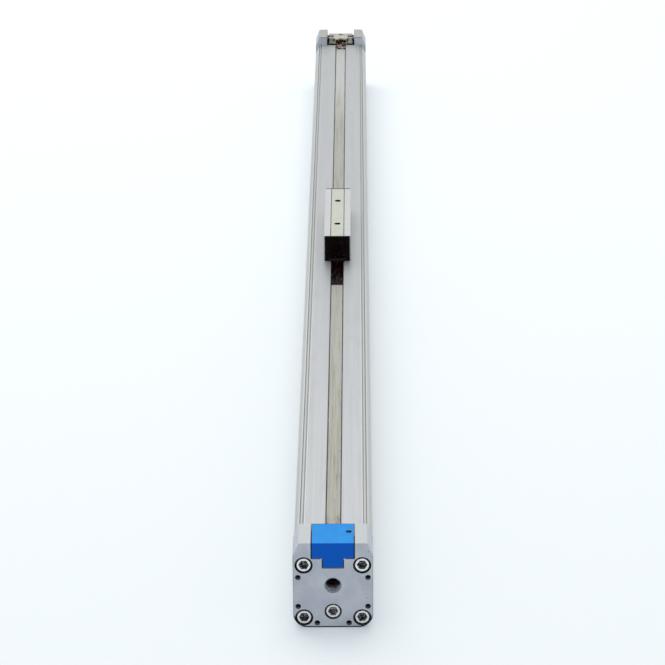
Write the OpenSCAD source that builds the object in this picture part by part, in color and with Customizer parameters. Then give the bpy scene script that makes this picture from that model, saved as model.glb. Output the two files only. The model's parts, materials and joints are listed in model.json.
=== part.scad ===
// Band-sealed rodless pneumatic cylinder, 25 mm bore.
// X runs across, Y along the cylinder, Z up. The origin lies on the resting plane
// under the middle of the barrel. The near end is the one at -Y.

/* [Barrel] */
// Length of the extruded barrel between the end caps
barrel_len = 1000; // [600:10:2000]
// Width of the slot that the yoke runs in
slot_w = 6.4; // [6.2:0.1:6.8]
// Width of the recess that holds the cover band
recess_w = 8.9; // [8.8:0.1:9.2]
// Depth of the T-slots in the sides and the underside
slot_depth = 6.2; // [5.8:0.1:6.4]

/* [End caps] */
// Length of each end cap
cap_len = 25; // [24:0.5:30]
// Height of each end cap
cap_h = 52.5; // [51:0.5:54]
// Side of the square of cap screws
screw_square = 32.66; // [32.4:0.01:32.8]
// Width of the notch that the cover sits in
notch_w = 24.2; // [24:0.1:24.6]

/* [Carriage] */
// Distance of the carriage from the middle of the barrel
carriage_y = -4; // [-100:1:100]
// Width of the driver
driver_w = 19.1; // [18.6:0.1:19.5]
// Length of the driver with its end pieces
driver_len = 105.6; // [102:0.1:110]
// Height of the driver's mounting face
driver_z = 63.5; // [63:0.1:64]
// Distance between the two mounting holes
mount_pitch = 50; // [40:1:60]
// Length of each tongue in the band recess
tongue_len = 45.2; // [40:0.1:50]

/* [Hidden] */
$fn = 48;
bite = 1; // how far a cutting tool runs past the face it opens

// barrel section
body_w = 45;
body_h = 45;
bore_r = 12.5;
bore_z = body_h / 2;
corner_r = 8.5;
shoulder_x = 19.6;
shoulder_z = 37.4;
slot_half = slot_w / 2;
recess_z = 43;
seat_half = 4.5;
seat_low = 33.9;
seat_z = 35.8;
groove_w = 0.6;
groove_depth = 1.2;
groove_x = [17.34, 19.0];
t_mouth = 5.2;
t_inner = 9;
t_lip = 1.8;
screw_half = screw_square / 2;

// screws: thread radii are drawn as plain cylinders, tapped holes at the tap drill
m5_r = 2.5;
m5_tap_r = 2.1;
m3_tap_r = 1.25;
thread_gap = 0.02;
cap_bolt_head_r = 4.25;
cap_bolt_head_len = 5;
head_edge = 0.25;
cap_bolt_reach = 14;
counterbore_r = 5.1;
counterbore_depth = 5.6;

// cap
port_r = 4.28;
port_edge = 0.62;
port_z = 26.4;
port_depth = 10;
side_port_y = 12.5;
side_port_floor = 14.5;
notch_z = 43.2;
tab_half = 5.8;
tab_z = 37.4;
tab_depth = 4;
spigot_len = 8;
spigot_r = bore_r - 0.05;
ring_groove = [-5.4, -3];
chamber_r = 6;
chamber_depth = 13;
cushion_seal_r = 7.5;
pin_r = 5;
mark_r = 1.6;
marks = [[19.6, 31.25], [19.6, 13.15], [8.93, 2.75]];

// cushion screw
cushion_z = 9.95;
cushion_r = 2.5;
cushion_head_r = 4.15;
cushion_bore_r = 4.85;
cushion_bore_depth = 4.6;
cushion_tip = 14.6;
needle_bore_r = 0.9;

// bands and the noses that hold them down
cover_w = 8.1;
cover_t = 0.9;
cover_low = 43.55;
cover_top = 55.6;
band_end = 14;
nose_bottom = 44.08;
nose_top = 44.95;
nose_half = 4.35;
nose_len = 10;
seal_t = 1.2;
seal_high = 35;
seal_low = 29.7;

// band clamp, its black holder and its screws; the feet stand on the holder
clamp_half = notch_w / 2 - 1.4;
plate_low = cap_h - 3.6;
plate_top = cap_h - 2.2;
plate_y = [5.5, 20];
arch_half = 5.4;
arch_y = 2.5;
foot_low = 45.4;
foot_top = 47.1;
foot_y = [3, 8.8];
holder_half = notch_w / 2 - 0.2;
clamp_screw_x = 8.4;
clamp_screw_y = 11;
clamp_head_len = 1;

// driver
end_plate_t = 1.6;
end_inset = 0.65;
body_half = driver_len / 2 - end_plate_t;
channel_half = 4.8;
channel_z = 56.5;
bar_z = driver_z - 5;
bar_half = 4.75;
bar_screw_y = 38;
skirt_z = 45.4;
strip_x = 7;
strip_half = 1.75;
strip_top = 46.5;

// yoke, carrier and pistons
yoke_half_len = 24;
yoke_head_half = 4.7;
yoke_head_z = 54.9;
yoke_screw_y = 16;
yoke_screw_z = 51;
yoke_screw_r = 1.5;
neck_half = 3;
carrier_half_len = 84;
carrier_r = 12.2;
trough_half = 4.9;
trough_z = 28.2;
passage_z = 31.2;
magnet_x = 8.5;
magnet_len = 20;
magnet_h = 6;
magnet_z = 21;
stud_r = 3;
piston_half_len = 102.9;
piston_r = 12.3;
wear_groove = [87, 92];
seal_groove = [95.5, 99.5];
ramp_in = 44;
ramp_out = 80;

// ---- helpers ----

// extrudes an outline drawn in X and Z between two places along Y
module along_y(y0, y1) {
    translate([0, y1, 0]) rotate([90, 0, 0]) linear_extrude(y1 - y0) children();
}

// extrudes an outline drawn in Y and Z across X, centred
module across_x(width) {
    rotate([90, 0, 90]) linear_extrude(width, center = true) children();
}

// a round bar along Y
module rod_y(r, y0, y1, x = 0, z = 0) {
    translate([x, y0, z]) rotate([-90, 0, 0]) cylinder(r = r, h = y1 - y0);
}

// a hexagon socket along Y, by its width across flats
module hex_y(af, y0, y1, x = 0, z = 0) {
    translate([x, y0, z]) rotate([-90, 0, 0]) cylinder(d = af / cos(30), h = y1 - y0, $fn = 6);
}

// a box from corner to corner
module block(low, high) {
    translate(low) cube(high - low);
}

// puts a piece drawn outwards from the barrel's end face on the near or the far end
module at_end(far) {
    translate([0, (far ? 1 : -1) * barrel_len / 2, 0]) mirror([0, far ? 0 : 1, 0]) children();
}

// puts a piece drawn from the carriage's middle outwards on its near or far side
module on_carriage(far = true) {
    translate([0, carriage_y, 0]) mirror([0, far ? 0 : 1, 0]) children();
}

// smooth change of height between two places, as points
function sweep(y0, y1, z0, z1, steps = 10) = [
    for (i = [0:steps])
        [y0 + (y1 - y0) * i / steps, z0 + (z1 - z0) * (1 - cos(180 * i / steps)) / 2]
];
function flipped(path) = [for (i = [len(path) - 1:-1:0]) path[i]];
function mirrored(path) = [for (p = flipped(path)) [-p[0], p[1]]];
function shifted(path, dy, dz) = [for (p = path) [p[0] + dy, p[1] + dz]];
function ribbon(path, t) = concat(shifted(path, 0, t / 2), flipped(shifted(path, 0, -t / 2)));

// ---- barrel ----

module barrel_outline() {
    half = body_w / 2;
    flat = half - corner_r;
    for (s = [-1, 1]) translate([s * flat, corner_r]) circle(corner_r);
    translate([-flat, 0]) square([2 * flat, corner_r]);
    polygon([
        [-half, corner_r], [half, corner_r], [half, shoulder_z], [shoulder_x, body_h - 0.4],
        [shoulder_x - 0.35, body_h], [-shoulder_x + 0.35, body_h],
        [-shoulder_x, body_h - 0.4], [-half, shoulder_z]
    ]);
}

// T-slot outline opening towards +Y at the origin
module t_slot_outline() {
    translate([-t_mouth / 2, -slot_depth]) square([t_mouth, slot_depth + bite]);
    polygon([
        [-t_inner / 2, -t_lip], [t_inner / 2, -t_lip], [t_inner / 2, 2 - slot_depth],
        [t_mouth / 2, -slot_depth], [-t_mouth / 2, -slot_depth], [-t_inner / 2, 2 - slot_depth]
    ]);
}

module barrel_profile() {
    half_recess = recess_w / 2;
    edge = 0.35;
    difference() {
        barrel_outline();
        translate([0, bore_z]) circle(bore_r, $fn = 96);
        translate([-slot_half, bore_z]) square([2 * slot_half, body_h]);
        translate([-seat_half, bore_z]) square([2 * seat_half, seat_z - bore_z]);
        translate([-half_recess, recess_z]) square([recess_w, body_h]);
        polygon([
            [-half_recess - edge, body_h], [half_recess + edge, body_h],
            [half_recess, body_h - edge], [-half_recess, body_h - edge]
        ]);
        for (s = [-1, 1]) {
            for (x = groove_x)
                translate([s * x - groove_w / 2, body_h - groove_depth]) square([groove_w, body_h]);
            translate([s * body_w / 2, bore_z]) rotate(-90 * s) t_slot_outline();
            for (t = [-1, 1]) translate([s * screw_half, bore_z + t * screw_half]) circle(m5_r);
        }
        rotate(180) t_slot_outline();
    }
}

module barrel() color([0.78, 0.79, 0.81]) {
    along_y(-barrel_len / 2, barrel_len / 2) barrel_profile();
}

// ---- end caps ----

module cap_outline() {
    half = body_w / 2;
    flat = half - corner_r;
    slant_z = 44.5;
    top_half = 19.2;
    soft = 1; // length of the rounded top corner along each edge
    run = [half - top_half, slant_z - cap_h];
    down = run / norm(run);
    for (s = [-1, 1]) translate([s * flat, corner_r]) circle(corner_r);
    translate([-flat, 0]) square([2 * flat, corner_r]);
    for (s = [0, 1]) mirror([s, 0]) {
        polygon([
            [0, corner_r], [half, corner_r], [half, slant_z],
            [top_half + down[0] * soft, cap_h + down[1] * soft],
            [top_half + 0.15, cap_h - 0.25], [top_half - soft, cap_h], [0, cap_h]
        ]);
    }
}

// outline of the cover's snap tab, smaller all round by gap, with flared upper corners
module tab_outline(gap) {
    half = tab_half - gap;
    flare = 1.2;
    side = concat(
        [for (a = [0:15:90]) [half + flare * (1 - sin(a)), notch_z - flare * (1 - cos(a))]],
        [[half, tab_z + gap]]
    );
    polygon(concat(flipped(side), [for (p = side) [-p[0], p[1]]]));
}

// the four cap screws, two on each side
module at_cap_screws() {
    for (sx = [-1, 1], sz = [-1, 1])
        translate([sx * screw_half, 0, bore_z + sz * screw_half]) children();
}

// the two side ports of a cap, drawn from the middle outwards along Z
module at_side_ports() {
    for (s = [-1, 1]) translate([0, side_port_y, bore_z]) rotate([0, 90 * s, 0]) children();
}

// the two clamp screws, drawn upwards from the notch floor, their slots turned apart
module at_clamp_screws() {
    for (s = [-1, 1])
        translate([s * clamp_screw_x, clamp_screw_y, notch_z]) rotate(15 - 30 * s) children();
}

module cap() {
    difference() {
        union() {
            along_y(0, cap_len) cap_outline();
            rod_y(spigot_r, -spigot_len, 0, z = bore_z, $fn = 96);
        }
        // notch for the cover, tab recess under it and groove for the end of the cover band
        block([-notch_w / 2, -bite, notch_z], [notch_w / 2, cap_len + bite, cap_h + bite]);
        along_y(cap_len - tab_depth, cap_len + bite) tab_outline(0);
        block([-seat_half, -bite, recess_z], [seat_half, band_end + 2, notch_z + bite]);
        block([-seat_half, -bite, seat_low - 0.1], [seat_half, 3.2, seat_z + 0.2]);
        at_clamp_screws() translate([0, 0, -8]) cylinder(r = m3_tap_r, h = 8 + bite);
        // cap screws
        at_cap_screws() {
            rod_y(m5_r + 0.25, -bite, cap_len + bite);
            rod_y(counterbore_r, cap_len - counterbore_depth, cap_len + bite);
        }
        // cushion chamber, air port and side ports
        rod_y(chamber_r, -spigot_len - bite, chamber_depth, z = bore_z);
        rod_y(cushion_seal_r, 1.2 - spigot_len, 4.2 - spigot_len, z = bore_z);
        rod_y(port_r, cap_len - port_depth, cap_len + bite, z = port_z);
        translate([0, cap_len + 0.01, port_z]) rotate([90, 0, 0])
            cylinder(r1 = port_r + port_edge, r2 = port_r, h = port_edge);
        rod_y(2.6, chamber_depth - 1, cap_len - port_depth + 1, z = port_z);
        at_side_ports() {
            cylinder(r = 2, h = body_w / 2);
            translate([0, 0, side_port_floor]) cylinder(r = port_r, h = body_w / 2);
        }
        // cushion screw and the passage that it throttles
        rod_y(cushion_bore_r, cap_len - cushion_bore_depth, cap_len + bite, z = cushion_z);
        rod_y(cushion_r + 0.05, cap_len - 15, cap_len + bite, z = cushion_z);
        rod_y(needle_bore_r, cap_len - 19, cap_len - 14, z = cushion_z);
        translate([0, cap_len - 18, cushion_z]) cylinder(r = needle_bore_r, h = bore_z - cushion_z);
        // O-ring groove round the spigot
        difference() {
            rod_y(spigot_r + bite, ring_groove[0], ring_groove[1], z = bore_z);
            rod_y(spigot_r - 1.5, ring_groove[0], ring_groove[1], z = bore_z);
        }
        // blind marks in the outer face
        for (m = marks, s = [-1, 1]) rod_y(mark_r, cap_len - 5, cap_len + bite, x = s * m[0], z = m[1]);
    }
}

module near_cap() color([0.70, 0.73, 0.77]) at_end(false) cap();
module far_cap() color([0.70, 0.73, 0.77]) at_end(true) cap();

module cap_screws() {
    head_y = cap_len - 0.5;
    at_cap_screws() difference() {
        union() {
            rod_y(cap_bolt_head_r, head_y - cap_bolt_head_len, head_y - head_edge);
            translate([0, head_y, 0]) rotate([90, 0, 0])
                cylinder(r1 = cap_bolt_head_r - head_edge, r2 = cap_bolt_head_r, h = head_edge);
            rod_y(m5_r - thread_gap, -cap_bolt_reach, head_y - cap_bolt_head_len);
        }
        hex_y(4, head_y - 2.6, head_y + bite);
    }
}

module near_cap_screws() color([0.80, 0.80, 0.78]) at_end(false) cap_screws();
module far_cap_screws() color([0.80, 0.80, 0.78]) at_end(true) cap_screws();

module near_cap_cover() color([0.13, 0.47, 0.86]) at_end(false) {
    gap = 0.2;
    half = notch_w / 2 - gap;
    wall = 1;
    front_y = cap_len - tab_depth;
    hole = [8.9, 10, 1.7];
    difference() {
        union() {
            block([-half, 0, notch_z], [half, cap_len, cap_h]);
            along_y(front_y + gap, cap_len) tab_outline(gap);
        }
        // room for the band clamp, open at the sides for its holder, and the way in for the band
        block([-half + wall, wall, tab_z], [half - wall, front_y, plate_top + clamp_head_len + 0.1]);
        block([-half - bite, wall, tab_z], [half + bite, front_y, plate_low + gap]);
        block([-half + wall, -bite, notch_z - bite], [half - wall, wall + bite, body_h + 0.7]);
        translate([hole[0], hole[1], cap_h - 3]) cylinder(r = hole[2], h = 3 + bite);
    }
}

// ---- band clamps ----

module band_clamp() {
    leg_t = 0.8;
    post = [7, 10.1];
    hole = [15.7, 2.1]; // place along Y and radius of the hole in the plate
    scallop_r = 1.6; // in the arch's front edge
    difference() {
        union() {
            block([-clamp_half, plate_y[0], plate_low], [clamp_half, plate_y[1], plate_top]);
            block([-arch_half, arch_y, plate_low], [arch_half, plate_y[1], plate_top]);
            for (s = [0, 1]) mirror([s, 0, 0]) {
                block([arch_half - leg_t, arch_y, foot_low], [arch_half, foot_y[1], plate_top]);
                block([arch_half - leg_t, foot_y[0], foot_low], [clamp_half, foot_y[1], foot_top]);
                block([post[0], foot_y[0] + 2, foot_low], [post[1], foot_y[1], plate_top]);
            }
        }
        at_clamp_screws() translate([0, 0, -bite]) cylinder(r = m3_tap_r + 0.4, h = 12);
        translate([0, hole[0], plate_low - bite]) cylinder(r = hole[1], h = 4);
        translate([0, arch_y, plate_low - bite]) cylinder(r = scallop_r, h = 4);
    }
}

module near_band_clamp() color([0.80, 0.78, 0.68]) at_end(false) band_clamp();
module far_band_clamp() color([0.80, 0.78, 0.68]) at_end(true) band_clamp();

module clamp_screws() {
    head = plate_top - notch_z;
    head_r = 2.4;
    edge = 0.3;
    at_clamp_screws() difference() {
        union() {
            translate([0, 0, -7]) cylinder(r = m3_tap_r - thread_gap, h = head + 7);
            translate([0, 0, head]) cylinder(r = head_r, h = clamp_head_len - edge);
            translate([0, 0, head + clamp_head_len - edge])
                cylinder(r1 = head_r, r2 = head_r - edge, h = edge);
        }
        block([-3, -0.35, head + 0.4], [3, 0.35, head + 4]);
    }
}

module near_clamp_screws() color([0.82, 0.80, 0.72]) at_end(false) clamp_screws();
module far_clamp_screws() color([0.82, 0.80, 0.72]) at_end(true) clamp_screws();

module band_holder() {
    difference() {
        union() {
            // nose over the band, with a hump under the arch of the clamp
            across_x(2 * nose_half) polygon([
                [-nose_len, nose_bottom + 0.2], [-nose_len + 0.8, nose_bottom],
                [plate_y[1], nose_bottom], [plate_y[1], 46.4], [3.5, 46.4], [1, 45.2],
                [-0.6, nose_top], [-nose_len + 0.5, nose_top], [-nose_len, nose_top - 0.4]
            ]);
            // base under the feet and block behind them
            block([-holder_half, 1.6, notch_z], [holder_half, plate_y[1], foot_low]);
            block([-holder_half, foot_y[1], notch_z], [holder_half, plate_y[1], plate_low]);
        }
        block([-seat_half, -bite, notch_z - bite], [seat_half, plate_y[1] + bite, nose_bottom]);
        at_clamp_screws() translate([0, 0, -bite]) cylinder(r = m3_tap_r + 0.4, h = 12);
    }
}

module near_band_holder() color([0.09, 0.06, 0.07]) at_end(false) band_holder();
module far_band_holder() color([0.09, 0.06, 0.07]) at_end(true) band_holder();

// ---- bands ----

// the cover band's way down from under the driver into its recess
function cover_slope() = sweep(yoke_half_len + 2, body_half - 1.5, cover_top, cover_low, 12);

// the sealing band's way up from under the yoke to its seat
function seal_slope(from = ramp_in) = sweep(from, ramp_out, seal_low, seal_high, 12);

module cover_band() color([0.68, 0.67, 0.61]) {
    end_y = barrel_len / 2 + band_end;
    hump = shifted(concat(mirrored(cover_slope()), cover_slope()), carriage_y, 0);
    across_x(cover_w)
        polygon(ribbon(concat([[-end_y, cover_low]], hump, [[end_y, cover_low]]), cover_t));
}

module sealing_band() color([0.75, 0.74, 0.66]) {
    end_y = barrel_len / 2 + 3;
    half = seat_half - 0.1;
    difference() {
        for (far = [false, true])
            along_y(far ? carriage_y + ramp_out : -end_y, far ? end_y : carriage_y - ramp_out)
                translate([-half, seat_low]) square([2 * half, seat_z - 0.1 - seat_low]);
        rod_y(bore_r, -end_y - bite, end_y + bite, z = bore_z, $fn = 96);
    }
    across_x(2 * half) polygon(ribbon(
        shifted(concat(mirrored(seal_slope()), seal_slope()), carriage_y, 0), seal_t
    ));
}

// ---- seals and stops in the caps ----

module ring_y(r_in, r_out, y0, y1, z = bore_z) {
    difference() {
        rod_y(r_out, y0, y1, z = z, $fn = 96);
        rod_y(r_in, y0 - bite, y1 + bite, z = z, $fn = 96);
    }
}

module o_ring(mid_r, wire_r, y, z = bore_z) {
    translate([0, y, z]) rotate([90, 0, 0]) rotate_extrude($fn = 96)
        translate([mid_r, 0]) circle(wire_r, $fn = 24);
}

module cap_seal() o_ring(spigot_r - 0.75, 0.72, -4.2);
module near_cap_seal() color([0.08, 0.08, 0.08]) at_end(false) cap_seal();
module far_cap_seal() color([0.08, 0.08, 0.08]) at_end(true) cap_seal();

module cushion_seal() ring_y(pin_r + 0.15, cushion_seal_r - 0.1, 1.4 - spigot_len, 4 - spigot_len);
module near_cushion_seal() color([0.15, 0.28, 0.20]) at_end(false) cushion_seal();
module far_cushion_seal() color([0.15, 0.28, 0.20]) at_end(true) cushion_seal();

module bumper() ring_y(8, 11.6, -spigot_len - 1.5, -spigot_len);
module near_bumper() color([0.12, 0.12, 0.12]) at_end(false) bumper();
module far_bumper() color([0.12, 0.12, 0.12]) at_end(true) bumper();

module side_plugs() {
    at_side_ports() difference() {
        translate([0, 0, side_port_floor + 1.1]) cylinder(r = port_r - thread_gap, h = 6.4);
        translate([0, 0, side_port_floor + 3.9]) cylinder(d = 5 / cos(30), h = 6, $fn = 6);
    }
}
module near_side_plugs() color([0.72, 0.70, 0.62]) at_end(false) side_plugs();
module far_side_plugs() color([0.72, 0.70, 0.62]) at_end(true) side_plugs();

// ---- cushion screws ----

module cushion_screw() {
    head_y = cap_len - 0.35;
    difference() {
        union() {
            rod_y(cushion_head_r, cap_len - cushion_bore_depth, head_y - head_edge, z = cushion_z);
            translate([0, head_y, cushion_z]) rotate([90, 0, 0])
                cylinder(r1 = cushion_head_r - head_edge, r2 = cushion_head_r, h = head_edge);
            rod_y(cushion_r, cap_len - 12, cap_len - cushion_bore_depth, z = cushion_z);
            translate([0, cap_len - cushion_tip, cushion_z]) rotate([-90, 0, 0])
                cylinder(r1 = 0.5, r2 = 1.6, h = cushion_tip - 12);
        }
        ring_y(1.7, cushion_r + bite, cap_len - 9.2, cap_len - 7.6, z = cushion_z);
        hex_y(4, head_y - 2.8, head_y + bite, z = cushion_z);
    }
}
module near_cushion_screw() color([0.80, 0.80, 0.78]) at_end(false) cushion_screw();
module far_cushion_screw() color([0.80, 0.80, 0.78]) at_end(true) cushion_screw();

module screw_seal() o_ring(2.12, 0.4, cap_len - 8.4, cushion_z);
module near_screw_seal() color([0.08, 0.08, 0.08]) at_end(false) screw_seal();
module far_screw_seal() color([0.08, 0.08, 0.08]) at_end(true) screw_seal();

// ---- driver ----

module at_yoke_screws() {
    for (s = [-1, 1], y = [-yoke_screw_y, yoke_screw_y])
        translate([0, y, yoke_screw_z]) rotate([0, 90 * s, 0]) children();
}

module at_bar_screws() {
    for (y = [-bar_screw_y, bar_screw_y]) translate([0, y, channel_z]) children();
}

module driver_body() color([0.82, 0.83, 0.84]) on_carriage() {
    half = driver_w / 2;
    edge = 0.5;
    difference() {
        along_y(-body_half, body_half) difference() {
            polygon([
                [-half, skirt_z], [half, skirt_z], [half, driver_z - edge], [half - edge, driver_z],
                [-half + edge, driver_z], [-half, driver_z - edge]
            ]);
            translate([-channel_half, 0]) square([2 * channel_half, channel_z]);
            translate([-bar_half, bar_z]) square([2 * bar_half, 10]);
            for (s = [-1, 1]) translate([s * strip_x - strip_half - 0.05, 0])
                square([2 * strip_half + 0.1, strip_top]);
        }
        at_yoke_screws() cylinder(r = yoke_screw_r, h = 12);
        at_bar_screws() {
            cylinder(r = 1.6, h = 4);
            translate([0, 0, -0.01]) cylinder(r1 = 2.7, r2 = 1.6, h = 1.2);
        }
    }
}

module driver_bar() color([0.82, 0.83, 0.77]) on_carriage() {
    half = bar_half - 0.1;
    difference() {
        block([-half, -body_half, bar_z], [half, body_half, driver_z]);
        for (s = [-1, 1]) translate([0, s * mount_pitch / 2, 0]) {
            translate([0, 0, bar_z - bite]) cylinder(r = m5_tap_r, h = 10);
            translate([0, 0, driver_z - 0.5]) cylinder(r1 = m5_tap_r, r2 = m5_tap_r + 0.51, h = 0.51);
        }
        at_bar_screws() cylinder(r = m3_tap_r, h = 5.4);
    }
}

module driver_bar_screws() color([0.70, 0.70, 0.70]) on_carriage() {
    at_bar_screws() difference() {
        union() {
            cylinder(r = m3_tap_r - thread_gap, h = 5);
            cylinder(r1 = 2.65, r2 = m3_tap_r - thread_gap, h = 1.05);
        }
        translate([0, 0, -bite]) cylinder(d = 1.6 / cos(30), h = 1.8, $fn = 6);
    }
}

module end_piece() {
    half = driver_w / 2 - end_inset;
    out = driver_len / 2;
    tip = out + tongue_len;
    inner = body_half + 0.5;
    foot_z = 45.2;
    ramp_top = channel_z - 0.1;
    ramp_foot = 45.6;
    lip = [5.2, 1.3]; // half width and reach of the lip at the plate's foot
    slope = [for (p = shifted(flipped(cover_slope()), 0, cover_t / 2 + 0.45))
        if (p[1] > ramp_foot && p[1] < ramp_top - 0.3) p];
    difference() {
        union() {
            along_y(body_half, out)
                translate([-half, foot_z]) square([2 * half, driver_z - end_inset - foot_z]);
            across_x(2 * lip[0]) polygon([
                [body_half, foot_z], [out + lip[1], foot_z], [out + lip[1], foot_z + 0.6],
                [out, foot_z + 1.6], [body_half, foot_z + 1.6]
            ]);
            // tongue that rides over the cover band
            across_x(2 * nose_half) polygon([
                [body_half, nose_bottom], [tip - 0.8, nose_bottom], [tip, nose_bottom + 0.2],
                [tip, nose_top - 0.4], [tip - 0.5, nose_top], [out + 1.5, nose_top],
                [out, foot_z + 1], [body_half, foot_z + 1]
            ]);
            // ramp that leads the cover band down to the recess
            intersection() {
                across_x(2 * channel_half - 0.4) polygon(concat(
                    [[inner, ramp_top], [inner, ramp_foot]], slope, [[yoke_half_len + 9, ramp_top]]
                ));
                block([-10, 20, skirt_z], [10, inner, ramp_top]);
            }
        }
        rod_y(1.3, out - 0.5, out + bite, z = 52.2);
    }
}

module near_end_piece() color([0.04, 0.03, 0.03]) on_carriage(false) end_piece();
module far_end_piece() color([0.04, 0.03, 0.03]) on_carriage() end_piece();

module slide_strips() color([0.90, 0.89, 0.84]) on_carriage() {
    for (s = [-1, 1]) translate([s * strip_x, 0, 0]) block(
        [-strip_half, 0.5 - body_half, body_h + 0.06], [strip_half, body_half - 0.5, strip_top]
    );
}

// ---- yoke and pistons ----

module yoke() color([0.66, 0.67, 0.69]) on_carriage() {
    difference() {
        union() {
            rod_y(carrier_r, -carrier_half_len, carrier_half_len, z = bore_z, $fn = 96);
            block([-neck_half, -yoke_half_len, bore_z], [neck_half, yoke_half_len, 46]);
            block([-yoke_head_half, -yoke_half_len, 45.6], [yoke_head_half, yoke_half_len, yoke_head_z]);
        }
        // passage for the sealing band under the neck, open troughs beyond it
        block([-trough_half, -26, trough_z], [trough_half, 26, passage_z]);
        for (s = [0, 1]) mirror([0, s, 0]) {
            block([-trough_half, 26, trough_z], [trough_half, carrier_half_len + bite, body_h]);
            rod_y(stud_r, carrier_half_len - 12, carrier_half_len + bite, z = bore_z);
        }
        at_yoke_screws() translate([0, 0, 2.2]) cylinder(r = yoke_screw_r, h = 8);
        at_magnets() block([0, -magnet_len, -magnet_h] / 2, [12, magnet_len, magnet_h] / 2);
    }
}

// the two magnet pockets, drawn outwards along X
module at_magnets() {
    for (s = [0, 1]) mirror([s, 0, 0]) translate([magnet_x, 0, magnet_z]) children();
}

module piston_magnets() color([0.35, 0.35, 0.37]) on_carriage() {
    at_magnets() translate([0.1, 0, 0])
        block([0, 0.2 - magnet_len, 0.2 - magnet_h] / 2, [4, magnet_len - 0.2, magnet_h - 0.2] / 2);
}

module yoke_screws() color([0.30, 0.30, 0.31]) on_carriage() {
    at_yoke_screws() difference() {
        translate([0, 0, 2.4]) cylinder(r = yoke_screw_r - thread_gap, h = 6.6);
        translate([0, 0, 7.4]) cylinder(d = 1.5 / cos(30), h = 3, $fn = 6);
    }
}

module seal_guide() {
    low = trough_z + 0.4;
    high = 33.8;
    slope = [for (p = shifted(seal_slope(ramp_in + 2), 0.6, -seal_t / 2 - 0.25))
        if (p[1] > low && p[1] < high) p];
    across_x(2 * trough_half - 0.2) polygon(concat(
        [[ramp_in + 2, trough_z]], slope, [[ramp_out + 2, high], [ramp_out + 2, trough_z]]
    ));
}
module near_seal_guide() color([0.88, 0.87, 0.82]) on_carriage(false) seal_guide();
module far_seal_guide() color([0.88, 0.87, 0.82]) on_carriage() seal_guide();

module piston() {
    difference() {
        rod_y(piston_r, carrier_half_len, piston_half_len, z = bore_z, $fn = 96);
        rod_y(stud_r + 0.05, carrier_half_len - bite, piston_half_len + bite, z = bore_z);
        ring_y(11.2, piston_r + bite, wear_groove[0], wear_groove[1]);
        ring_y(10.4, piston_r + bite, seal_groove[0], seal_groove[1]);
    }
}
module near_piston() color([0.20, 0.20, 0.21]) on_carriage(false) piston();
module far_piston() color([0.20, 0.20, 0.21]) on_carriage() piston();

module wear_ring() ring_y(11.22, bore_r - 0.05, wear_groove[0] + 0.1, wear_groove[1] - 0.1);
module near_wear_ring() color([0.55, 0.42, 0.28]) on_carriage(false) wear_ring();
module far_wear_ring() color([0.55, 0.42, 0.28]) on_carriage() wear_ring();

module piston_seal() {
    translate([0, seal_groove[0], bore_z]) rotate([-90, 0, 0]) rotate_extrude($fn = 96)
        polygon([[10.42, 0.1], [11.9, 0.1], [12.44, 3.1], [12.2, 3.9], [11.4, 2.5], [10.42, 3.9]]);
}
module near_piston_seal() color([0.10, 0.20, 0.15]) on_carriage(false) piston_seal();
module far_piston_seal() color([0.10, 0.20, 0.15]) on_carriage() piston_seal();

module cushion_pin() {
    rod_y(stud_r - thread_gap, carrier_half_len - 10, piston_half_len, z = bore_z);
    rod_y(pin_r, piston_half_len, piston_half_len + 10, z = bore_z);
    translate([0, piston_half_len + 10, bore_z]) rotate([-90, 0, 0])
        cylinder(r1 = pin_r, r2 = pin_r - 1, h = 2);
}
module near_cushion_pin() color([0.75, 0.72, 0.60]) on_carriage(false) cushion_pin();
module far_cushion_pin() color([0.75, 0.72, 0.60]) on_carriage() cushion_pin();

barrel();
near_cap();
far_cap();
near_cap_screws();
far_cap_screws();
near_cap_cover();
near_band_clamp();
far_band_clamp();
near_clamp_screws();
far_clamp_screws();
near_band_holder();
far_band_holder();
cover_band();
sealing_band();
near_cap_seal();
far_cap_seal();
near_cushion_seal();
far_cushion_seal();
near_bumper();
far_bumper();
near_side_plugs();
far_side_plugs();
driver_body();
driver_bar();
driver_bar_screws();
near_end_piece();
far_end_piece();
slide_strips();
yoke();
yoke_screws();
near_seal_guide();
far_seal_guide();
near_piston();
far_piston();
near_piston_seal();
far_piston_seal();
near_wear_ring();
far_wear_ring();
near_cushion_pin();
far_cushion_pin();
piston_magnets();
near_cushion_screw();
far_cushion_screw();
near_screw_seal();
far_screw_seal();
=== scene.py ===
import json
import math

import bmesh
import bpy
from mathutils import Matrix, Vector


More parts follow.
